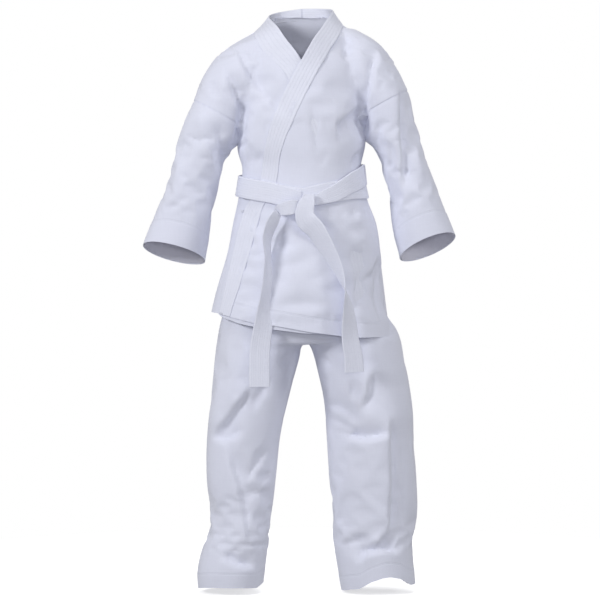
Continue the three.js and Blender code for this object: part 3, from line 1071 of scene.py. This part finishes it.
def strap(name, rows):
    """A length of belt: rows of x, y, z, half width and its turn out of the front view in degrees."""
    rows = np.array(rows, float)
    rows[:, :3] = true_place(rows[:, :3])
    rows = spline(rows, step=5)
    middle, half, turn = rows[:, :3], rows[:, 3], np.radians(rows[:, 4])
    along = np.gradient(middle, axis=0)
    along /= np.linalg.norm(along, axis=1)[:, None]
    level = np.stack([-along[:, 2], 0 * turn, along[:, 0]], axis=1)
    level /= np.linalg.norm(level, axis=1)[:, None]
    back = np.cross(along, level)
    back *= np.sign(back[:, 1:2])
    wide = level * np.cos(turn)[:, None] + back * np.sin(turn)[:, None]
    outward = np.cross(wide, along)
    outward *= np.where((outward * (0, -1, 0)).sum(axis=1)[:1, None] >= 0, 1, -1)
    reach = wide * half[:, None]
    return ribbon(name, middle - reach, middle + reach, outward, BELT_THICK, **BELT_WEAVE)


RIGHT_END = [
    (-47, -112, 716, 7, 20), (-54, -117, 707, 13, 40), (-61, -118, 692, 17, 52), (-68, -116, 667, 19, 66),
    (-67, -114, 638, 19, 74), (-65, -113, 599, 19, 60), (-68, -114, 561, 19, 51), (-74, -116, 513, 19, 28),
    (-82, -117, 456, 19, 11), (-83, -117, 420, 19, 8), (-83, -117, 386, 19, 6),
]
LEFT_END = [
    (11, -108, 752, 10, 0), (10.5, -114, 746, 11.5, 0), (7, -119, 734, 15, 0), (3, -121, 718, 17.5, 0),
    (5, -121, 706, 19, -6), (24, -119, 684, 19, -22), (45, -116, 648, 19, -36), (67, -114, 606, 19, -60),
    (80, -114, 570, 19, -90), (86, -115, 536, 19, -120), (90, -117, 475, 19, -148),
    (96, -117, 438, 19, -156), (97, -117, 414, 19, -160),
]
LOOP = [
    (0, -110, 730, 9, 0), (-8, -115, 729, 11.5, 0), (-22, -119, 727, 13.5, 0), (-36, -118, 724, 12.5, 0),
    (-46, -112, 722, 9.5, 0), (-50, -104, 718, 6, 0),
]
right_end = strap("belt_end_right", RIGHT_END)
left_end = strap("belt_end_left", LEFT_END)
loop = strap("belt_knot_bight", LOOP)


# ---- the trousers ----

TROUSER_FOLDS = [
    # wearer's right leg
    crease([(-99, 388), (-140, 330), (-176, 285)], 34, 14, 0.7, ends=0.3),
    crease([(-178, 285), (-150, 282), (-112, 300)], 14, 12, 0.5, ends=0.3),
    crease([(-150, 280), (-122, 190), (-104, 90)], 32, 10, 0.5, ends=0.25),
    crease([(-106, 196), (-86, 230), (-62, 264)], 12, 9, 0.5, ends=0.35),
    crease([(-80, 196), (-56, 220)], 9, 7, 0.4, ends=0.5),
    crease([(-112, 190), (-82, 183), (-56, 188)], 11, 8, -0.5, ends=0.4),
    crease([(-162, 62), (-128, 44), (-88, 34)], 16, 13, 0.6, ends=0.3),
    crease([(-194, 130), (-150, 140)], 12, 6, 0.3, ends=0.5),
    crease([(-58, 402), (-94, 330)], 22, 9, -0.5, ends=0.4),
    crease([(-22, 455), (-52, 420)], 10, 7, 0.3, ends=0.5),
    # wearer's left leg
    crease([(40, 352), (84, 332), (106, 306)], 13, 10, 0.5, ends=0.35),
    crease([(46, 324), (76, 308), (98, 300)], 9, 8, 0.4, ends=0.4),
    crease([(54, 300), (96, 286), (124, 284)], 11, 8, 0.4, ends=0.4),
    crease([(80, 288), (124, 284), (170, 294)], 18, 15, 0.6, ends=0.25),
    crease([(88, 402), (90, 352)], 12, 8, 0.5, ends=0.5),
    crease([(132, 420), (124, 370), (108, 336)], 34, 12, 0.6, ends=0.35),
    crease([(168, 330), (170, 190), (164, 90)], 34, 13, 0.7, ends=0.2),
    crease([(196, 300), (198, 190), (190, 90)], 16, 5, 0.0, ends=0.3),
    crease([(66, 80), (94, 92), (126, 104)], 14, 9, -0.5, ends=0.4),
    crease([(122, 94), (160, 84)], 14, -8, 0.0, ends=0.5),
    crease([(102, 44), (122, 66), (156, 72), (192, 64)], 18, 16, 0.6, ends=0.3),
    crease([(28, 452), (60, 420)], 10, 7, -0.3, ends=0.5),
    # backs
    crease([(-150, 330), (-110, 300), (-60, 312)], 16, 11, 0.5, "back", ends=0.4),
    crease([(70, 320), (110, 300), (165, 326)], 16, 11, 0.5, "back", ends=0.4),
    crease([(-150, 270), (-90, 262)], 12, 7, 0.4, "back", ends=0.5),
    crease([(80, 272), (150, 280)], 12, 7, 0.4, "back", ends=0.5),
    crease([(-175, 100), (-130, 76), (-86, 84)], 15, 11, 0.5, "back", ends=0.4),
    crease([(80, 110), (130, 84), (190, 96)], 15, 11, 0.5, "back", ends=0.4),
    crease([(-118, 420), (-126, 180)], 28, -9, 0.0, "back", ends=0.4),
    crease([(120, 420), (130, 190)], 28, -9, 0.0, "back", ends=0.4),
]


def trousers_held(p):
    """1 where the trousers stay in place: waist and hems."""
    top = smoothstep(540, 620, p[:, 2])
    hem = smoothstep(110, 15, p[:, 2])
    return np.maximum(top, hem)


trouser_form = drape_over(form("trouser_form", [loft(SEAT), loft(RIGHT_LEG), loft(LEFT_LEG)]), seed=4)
trouser_form = sagged(trouser_form, "trouser_form", trousers_held, grow=0.01, most=2.8)
trouser_form = creased(trouser_form, TROUSER_FOLDS)


def under_jacket(mesh, depth):
    """Draws the trousers in where the jacket's front covers them."""
    points, out = design(coordinates(mesh)), normals(mesh)
    edge = hem_at(HEM_OVER, points[:, 0])
    move = smoothstep(-6, 16, points[:, 2] - edge) * smoothstep(0.1, 0.6, -out[:, 1])
    set_coordinates(mesh, place(points - out * (depth * move)[:, None]))


under_jacket(trouser_form, 10.0)


def leg_front(x):
    """About where the front of a leg's hem is, as y."""
    middle, half = (-138, 62) if x < 0 else (144, 70)
    return -66 * math.sqrt(max(0.0, 1 - ((x - middle) / half) ** 2))


LEG_HEM_FRONT = on_front([
    (-230, 4), (-199, 4), (-188, 4), (-170, 4), (-150, 3), (-120, 3), (-100, 3), (-88, 4), (-76, 16),
    (-60, 18), (40, 0), (76, 0), (90, 1), (108, 2), (129, 14), (152, 22), (166, 24), (185, 21), (205, 10),
    (214, 14), (240, 16),
], y=leg_front)
LEG_HEM_BACK = [
    (-230, 4), (-96, 3), (-76, 16), (-60, 18), (40, 0), (104, 1), (126, 12), (152, 18), (185, 16),
    (205, 10), (214, 14), (240, 16),
]
CROTCH_HALF_X, CROTCH_HALF_Y = 15, 42
CROTCH_FOOT, CROTCH_TOP = 430, 506
WAIST_FOOT, WAIST_TOP = 762, 798


def in_crotch(c):
    level = (c[:, 2] < CROTCH_TOP) & (c[:, 2] > CROTCH_FOOT)
    return (abs(c[:, 0]) < CROTCH_HALF_X) & (abs(c[:, 1]) < CROTCH_HALF_Y) & level


def leg_cuts(bm):
    centre_cut(bm)
    cut_along(bm, (0, 0, 0), (0, 1, 0), lambda c: abs(c[:, 1]) < NEAR_CUT)
    cut_polyline(bm, LEG_HEM_FRONT, lambda c: c[:, 1] < 0)
    cut_polyline(bm, LEG_HEM_BACK, lambda c: c[:, 1] > 0)
    cut_along(bm, (0, 0, WAIST_TOP), (0, 0, 1), lambda c: abs(c[:, 2] - WAIST_TOP) < NEAR_CUT)


def above_hem(c):
    front, back = hem_at(LEG_HEM_FRONT, c[:, 0]), hem_at(LEG_HEM_BACK, c[:, 0])
    return c[:, 2] - np.where(c[:, 1] < 0, front, back)


LEG_FACING = 28
leg_cloth, leg_facings = {}, {}
for hand, side in (("left", 1), ("right", -1)):
    for face, way in (("front", -1), ("back", 1)):
        mine = lambda c: (c[:, 0] * side > 0) & (c[:, 1] * way > 0) & (above_hem(c) > 0)
        cloth = piece(
            f"trouser_{hand}_{face}_cloth", trouser_form, [leg_cuts],
            lambda c: mine(c) & (c[:, 2] < WAIST_TOP) & ~in_crotch(c),
        )
        shift(cloth, lambda p: HEM_LIFT * smoothstep(LEG_FACING + 1.5, LEG_FACING - 1.5, above_hem(p)))
        leg_cloth[hand, face] = cloth
    leg_facings[hand] = piece(
        f"trouser_{hand}_hem_lining", trouser_form, [leg_cuts],
        lambda c: (c[:, 0] * side > 0) & (above_hem(c) > 1.5) & (above_hem(c) < LEG_FACING),
    )
    shift(leg_facings[hand], lambda p: np.full(len(p), LINING_DROP))

crotch_cloth = piece("trouser_crotch_cloth", trouser_form, [leg_cuts], in_crotch)
waistband = piece(
    "trouser_waist_casing", trouser_form, [leg_cuts],
    lambda c: (c[:, 2] > WAIST_FOOT) & (c[:, 2] < WAIST_TOP),
)
shift(waistband, lambda p: np.full(len(p), WAISTBAND_LIFT))


def tape_round(name, level, half, lift, thick):
    """A closed tape round the trousers' waist."""
    angles = np.radians(np.arange(0, 361, 5))
    ways = np.stack([np.sin(angles), -np.cos(angles), 0 * angles], axis=1)
    line = []
    tree = surface(trouser_form)
    for way in ways:
        hit, _, _, _ = tree.ray_cast(Vector(place(way * 300 + (0, 0, level))[0]), Vector(-way))
        line.append(way * (math.hypot(hit.x, hit.y) / MM + lift) + (0, 0, level))
    line = np.array(line)
    up = (0, 0, half)
    return ribbon(name, line + up, line - up, ways, thick, across=17, rows=4, groove=0.2)


elastic = tape_round("waist_elastic_tape", 778, 13, 2.6, 1.0)


# ---- the vent patches and the tack beside the belt ----

stays = {}
PATCH_HALF, PATCH_TALL = 14, 26
for hand, side in (("left", 1), ("right", -1)):
    stays[hand] = piece(
        f"{hand}_vent_patch", body_form, [half_cuts("front", HEM_OVER)],
        lambda c: (c[:, 0] * side > 0) & (abs(c[:, 1]) < PATCH_HALF)
        & (c[:, 2] > VENT_TOP) & (c[:, 2] < VENT_TOP + PATCH_TALL),
    )
    shift(stays[hand], lambda p: np.full(len(p), STAY_DROP))

TACK = (-113, 718)
found = ray_front(body_tree, *TACK)
tack_out = found[1]
tack_at = found[0] + tack_out * 1.0
tack_side = np.cross((0, 0, 1), tack_out)
tack_side /= np.linalg.norm(tack_side)
tack_line = np.array([tack_at + tack_side * t for t in np.linspace(-3.5, 3.5, 15)])
tack_half = (0, 0, 2.0)
tack = ribbon(
    "side_tack", tack_line + tack_half, tack_line - tack_half, [tack_out] * len(tack_line),
    1.8, across=9, rows=2, groove=0.3,
)


# ---- materials ----

def socket(node, value, name):
    node.inputs[name].default_value = value


def cloth_material(name, color, mottle_and_groove_shade, weave=0.0009, stitch_at=(), ribs=0, rough=0.86):
    """Woven cotton: fine threads, slubs, soft changes of tone, and rows of stitching, each a bump groove
    with painted shade darkening the colour along it.
    """
    mat = bpy.data.materials.new(name)
    mat.use_nodes = True
    nodes, links = mat.node_tree.nodes, mat.node_tree.links
    shader = nodes["Principled BSDF"]
    socket(shader, rough, "Roughness")
    socket(shader, 0.35, "Sheen Weight")
    socket(shader, 0.6, "Sheen Roughness")
    socket(shader, 0.25, "Specular IOR Level")
    where = nodes.new("ShaderNodeTexCoord")

    def math_node(kind, a, b=None):
        node = nodes.new("ShaderNodeMath")
        node.operation = kind
        for i, value in enumerate((a, b)):
            if value is None:
                continue
            if isinstance(value, (int, float)):
                node.inputs[i].default_value = value
            else:
                links.new(value, node.inputs[i])
        return node.outputs[0]

    def noise_node(scale, detail=3.0, stretch=None):
        source = where.outputs["Object"]
        if stretch:
            squeeze = nodes.new("ShaderNodeMapping")
            squeeze.inputs["Scale"].default_value = stretch
            links.new(source, squeeze.inputs["Vector"])
            source = squeeze.outputs[0]
        node = nodes.new("ShaderNodeTexNoise")
        socket(node, scale, "Scale")
        socket(node, detail, "Detail")
        links.new(source, node.inputs["Vector"])
        return node.outputs["Fac"]

    split = nodes.new("ShaderNodeSeparateXYZ")
    links.new(where.outputs["Object"], split.inputs[0])
    pitch = 2 * math.pi / weave
    level = math_node("ADD", split.outputs[0], split.outputs[1])
    warp = math_node("SINE", math_node("MULTIPLY", level, pitch))
    weft = math_node("SINE", math_node("MULTIPLY", split.outputs[2], pitch))
    threads = math_node("MULTIPLY", math_node("MULTIPLY", warp, weft), 0.5)
    slub_warp = noise_node(420.0, 2.0, (1.0, 1.0, 0.08))
    slub_weft = noise_node(420.0, 2.0, (0.08, 0.08, 1.0))
    slubs = math_node("ADD", slub_warp, slub_weft)
    crinkle = noise_node(55.0, 4.0)
    thread_height = math_node("MULTIPLY", threads, 0.00006)
    height = math_node("ADD", thread_height, math_node("MULTIPLY", slubs, 0.00012))
    height = math_node("ADD", height, math_node("MULTIPLY", crinkle, 0.0006))
    stitch_groove_and_shade = None
    for row in stitch_at:
        edge = nodes.new("ShaderNodeAttribute")
        edge.attribute_name = "edge"
        off = math_node("DIVIDE", math_node("SUBTRACT", edge.outputs["Fac"], row), 1.1)
        dip = math_node("POWER", 2.718, math_node("MULTIPLY", math_node("MULTIPLY", off, off), -1.0))
        stitch_groove_and_shade = dip if stitch_groove_and_shade is None else math_node("MAXIMUM", stitch_groove_and_shade, dip)
    if ribs:
        strip = nodes.new("ShaderNodeUVMap")
        strip.uv_map = "strip"
        parts = nodes.new("ShaderNodeSeparateXYZ")
        links.new(strip.outputs[0], parts.inputs[0])
        wave = math_node("COSINE", math_node("MULTIPLY", parts.outputs[1], 2 * math.pi * (ribs + 1)))
        row = math_node("MAXIMUM", math_node("SUBTRACT", math_node("MULTIPLY", wave, 6.0), 5.0), 0.0)
        dash = math_node("SINE", math_node("MULTIPLY", parts.outputs[0], 2 * math.pi / 0.0032))
        dash = math_node("ADD", math_node("MULTIPLY", dash, 0.3), 0.7)
        stitch_groove_and_shade = math_node("MULTIPLY", row, dash)
    tone = math_node("MULTIPLY", slubs, 0.5)
    mottle = noise_node(9.0, 5.0)
    if stitch_groove_and_shade is not None:
        height = math_node("SUBTRACT", height, math_node("MULTIPLY", stitch_groove_and_shade, 0.0005))
    # The ramp's dark end is a darker tone of the cloth, used for the random mottle and for the painted
    # shade along the stitch rows.
    ramp = nodes.new("ShaderNodeValToRGB")
    ramp.color_ramp.elements[0].position = 0.30
    ramp.color_ramp.elements[1].position = 0.70
    ramp.color_ramp.elements[0].color = (*mottle_and_groove_shade, 1)
    ramp.color_ramp.elements[1].color = (*color, 1)
    mixed = math_node("ADD", math_node("MULTIPLY", tone, 0.55), math_node("MULTIPLY", mottle, 0.45))
    # Painted shade: the colour is darkened along the stitch rows, where their grooves are.
    if stitch_groove_and_shade is not None:
        mixed = math_node("SUBTRACT", mixed, math_node("MULTIPLY", stitch_groove_and_shade, 0.16))
    links.new(mixed, ramp.inputs["Fac"])
    links.new(ramp.outputs["Color"], shader.inputs["Base Color"])
    bump = nodes.new("ShaderNodeBump")
    socket(bump, 0.7, "Strength")
    socket(bump, 1.0, "Distance")
    links.new(height, bump.inputs["Height"])
    links.new(bump.outputs["Normal"], shader.inputs["Normal"])
    return mat


CANVAS = cloth_material("cotton_canvas", (0.745, 0.765, 0.885), (0.70, 0.72, 0.84), stitch_at=(26.0, 28.0))
LAPEL = cloth_material("lapel_canvas", (0.775, 0.795, 0.905), (0.72, 0.74, 0.855), ribs=5)
BELT = cloth_material("belt_cotton", (0.775, 0.795, 0.905), (0.71, 0.73, 0.85), weave=0.0007, ribs=8)
# The facings inside the cuffs, hems and vents are a darker, greyer copy of the canvas: painted shade of the
# garment's inside.
SHADED_FACINGS = cloth_material("facing_canvas_painted_shade", (0.70, 0.70, 0.80), (0.65, 0.65, 0.755))
ELASTIC = cloth_material("woven_elastic", (0.72, 0.71, 0.69), (0.65, 0.64, 0.62), weave=0.0016, ribs=4)


def distances(obj, function):
    """Stores how far each point is from the piece's finished edge, for the stitch rows."""
    layer = obj.data.attributes.new("edge", "FLOAT", "POINT")
    layer.data.foreach_set("value", np.asarray(function(design(coordinates(obj.data))), np.float32))


def hem_distance(path, face):
    """Distance from the nearer of a hem and the vents."""
    def function(p):
        signed, _ = distance_to(path, p[:, 0], p[:, 2])
        out = np.abs(signed)
        for side, sign in (("east", 1), ("west", -1)):
            signed, _ = distance_to(VENTS[side, face], p[:, 1], p[:, 2])
            beside = (p[:, 0] * sign > 60) & (p[:, 2] < VENT_TOP)
            out = np.where(beside, np.minimum(out, np.abs(signed)), out)
        return out
    return function


distances(left_front, hem_distance(HEM_OVER, "front"))
distances(right_front, hem_distance(HEM_UNDER, "front"))
for hand in ("left", "right"):
    distances(back_cloth[hand], hem_distance(HEM_BACK, "back"))
    distances(
        sleeves[hand],
        lambda p: np.where(above_cuff(hand, p) < 200, above_cuff(hand, p) - FACING + 27, 200),
    )
    for face in ("front", "back"):
        distances(leg_cloth[hand, face], above_hem)


def dress(obj, material, thickness=CLOTH):
    """Gives a piece its material and, where it is a single layer, its thickness."""
    obj.data.materials.clear()
    obj.data.materials.append(material)
    if thickness:
        thicken(obj, thickness)


cloths = [left_front, right_front, *back_cloth.values(), *gussets.values(), *sleeves.values()]
for obj in [*cloths, *leg_cloth.values(), crotch_cloth, waistband]:
    dress(obj, CANVAS)
# The inside pieces take the facing canvas, darkened as painted shade.
for obj in [*cuff_facings.values(), *leg_facings.values(), *stays.values()]:
    dress(obj, SHADED_FACINGS, FACING_CLOTH)
for obj in (left_band, right_band):
    dress(obj, LAPEL, 0)
for obj in (inner_turn, outer_turn, right_end, left_end, loop, tack):
    dress(obj, BELT, 0)
dress(elastic, ELASTIC, 0)


# ---- what each piece is parented to, and which frame parts it stands for ----

BLEND_LENGTH = 120  # of a sleeve, from its seam down


def seam_blend(obj, seam):
    (x, z), (dx, dz) = seam
    start, end = (x, 0, z), (x + dx * BLEND_LENGTH, 0, z + dz * BLEND_LENGTH)
    place(start)[0]
    place(end)[0]
    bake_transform(obj)


for hand, seam in (("right", RIGHT_SEAM), ("left", LEFT_SEAM)):
    seam_blend(sleeves[hand], seam)
    seam_blend(cuff_facings[hand], seam)
    side = 1 if hand == "left" else -1
    for face in ("front", "back"):
        cloth = leg_cloth[hand, face]
        hip, thigh = place((side * 88, 0, 464))[0], place((side * 88, 0, 340))[0]
        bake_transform(cloth)
        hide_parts(f"trouser_{hand}_{face}_top", f"trouser_{hand}_leg_{face}")
    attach(leg_facings[hand], f"{hand}_leg_body")
    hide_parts(f"trouser_{hand}_hem_facing")
    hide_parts(f"{hand}_sleeve")
    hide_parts(f"{hand}_cuff_facing")
    for obj, node, slot in (
        (back_cloth[hand], f"{hand}_back_panel", "canvas"),
        (gussets[hand], f"{hand}_underarm_gusset", "canvas"),
        (stays[hand], f"{hand}_vent_stay", "facing"),
    ):
        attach(obj, "root")
        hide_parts(node)

for obj, nodes, slot in (
    (left_front, ["left_front_panel"], "canvas"),
    (right_front, ["right_front_panel"], "canvas"),
    (left_band, ["left_collar_band"], "lapel"),
    (right_band, ["right_collar_band"], "lapel"),
    (inner_turn, ["belt_inner_turn"], "belt_cotton"),
    (outer_turn, ["belt_outer_turn", "belt_cross_strap"], "belt_cotton"),
    (loop, ["belt_knot_loop"], "belt_cotton"),
    (tack, ["tie_bartack"], "belt_cotton"),
    (crotch_cloth, ["trouser_crotch_gusset"], "canvas"),
    (waistband, ["trouser_waistband"], "canvas"),
    (elastic, ["waistband_elastic"], "elastic"),
):
    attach(obj, "root")
    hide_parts(*nodes)

start, end = place((-44, -112, 714))[0], place((-66, -112, 672))[0]
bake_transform(right_end)
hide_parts("belt_right_tail")
start, end = place((6, -112, 722))[0], place((24, -112, 684))[0]
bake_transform(left_end)
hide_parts("belt_left_tail", "belt_knot_centre")


# ---- stage, light and camera ----

FLOOR_RADIUS, FLOOR_GAP = 1.1, 0.003
SKY, BACKDROP = 0.31, 1.0  # the white surroundings, as they light the cloth and as the camera sees them


def stage_material(name, color, glow):
    mat = bpy.data.materials.new(name)
    mat.use_nodes = True
    shader = mat.node_tree.nodes["Principled BSDF"]
    socket(shader, (*color, 1), "Base Color")
    socket(shader, 1.0, "Roughness")
    socket(shader, (1, 1, 1, 1), "Emission Color")
    socket(shader, glow, "Emission Strength")
    return mat


bpy.ops.mesh.primitive_circle_add(
    vertices=96, radius=FLOOR_RADIUS, fill_type="NGON", location=(0, 0, HEM_HEIGHT - FLOOR_GAP)
)
floor = bpy.context.object
floor.name = "studio_floor"
floor.data.materials.append(stage_material("pale_floor", (0.9, 0.9, 0.9), 0.6))
floor.visible_diffuse = False

scene = bpy.context.scene
scene.view_settings.view_transform = "Standard"
world = bpy.data.worlds.new("studio")
scene.world = world
world.use_nodes = True
ambient = world.node_tree.nodes["Background"]
socket(ambient, (0.97, 0.97, 1.0, 1), "Color")
socket(ambient, SKY, "Strength")
backdrop = world.node_tree.nodes.new("ShaderNodeBackground")
socket(backdrop, (1, 1, 1, 1), "Color")
socket(backdrop, BACKDROP, "Strength")
seen = world.node_tree.nodes.new("ShaderNodeLightPath")
either = world.node_tree.nodes.new("ShaderNodeMixShader")
wires = world.node_tree.links
wires.new(seen.outputs["Is Camera Ray"], either.inputs[0])
wires.new(ambient.outputs[0], either.inputs[1])
wires.new(backdrop.outputs[0], either.inputs[2])
wires.new(either.outputs[0], world.node_tree.nodes["World Output"].inputs["Surface"])


def area_light(name, location, target, size, watts):
    lamp = bpy.data.lights.new(name, "AREA")
    lamp.shape = "DISK"
    lamp.size = size
    lamp.energy = watts
    obj = bpy.data.objects.new(name, lamp)
    scene.collection.objects.link(obj)
    obj.location = location
    obj.rotation_euler = (Vector(target) - Vector(location)).to_track_quat("-Z", "Y").to_euler()


middle = (0, 0, HEM_HEIGHT + 0.55)
area_light("key", (-2.6, -2.2, HEM_HEIGHT + 1.9), middle, 0.9, 59)
area_light("fill", (2.9, -1.6, HEM_HEIGHT + 1.4), middle, 0.9, 23)
area_light("top", (0.3, -1.5, HEM_HEIGHT + 3.2), middle, 1.2, 15)
area_light("front", (0.0, -3.7, HEM_HEIGHT + 0.75), middle, 0.6, 20)
area_light("rear", (0.6, 3.0, HEM_HEIGHT + 2.2), middle, 1.6, 26)

lens = bpy.data.cameras.new("photo_view")
lens.sensor_width = 36
lens.lens = 126.3
camera = bpy.data.objects.new("photo_view", lens)
scene.collection.objects.link(camera)
camera.location = (EYE_SIDE * MM, -EYE_DISTANCE * MM, HEM_HEIGHT + EYE_HEIGHT * MM)
camera.rotation_euler = (math.pi / 2, 0, 0)
scene.camera = camera
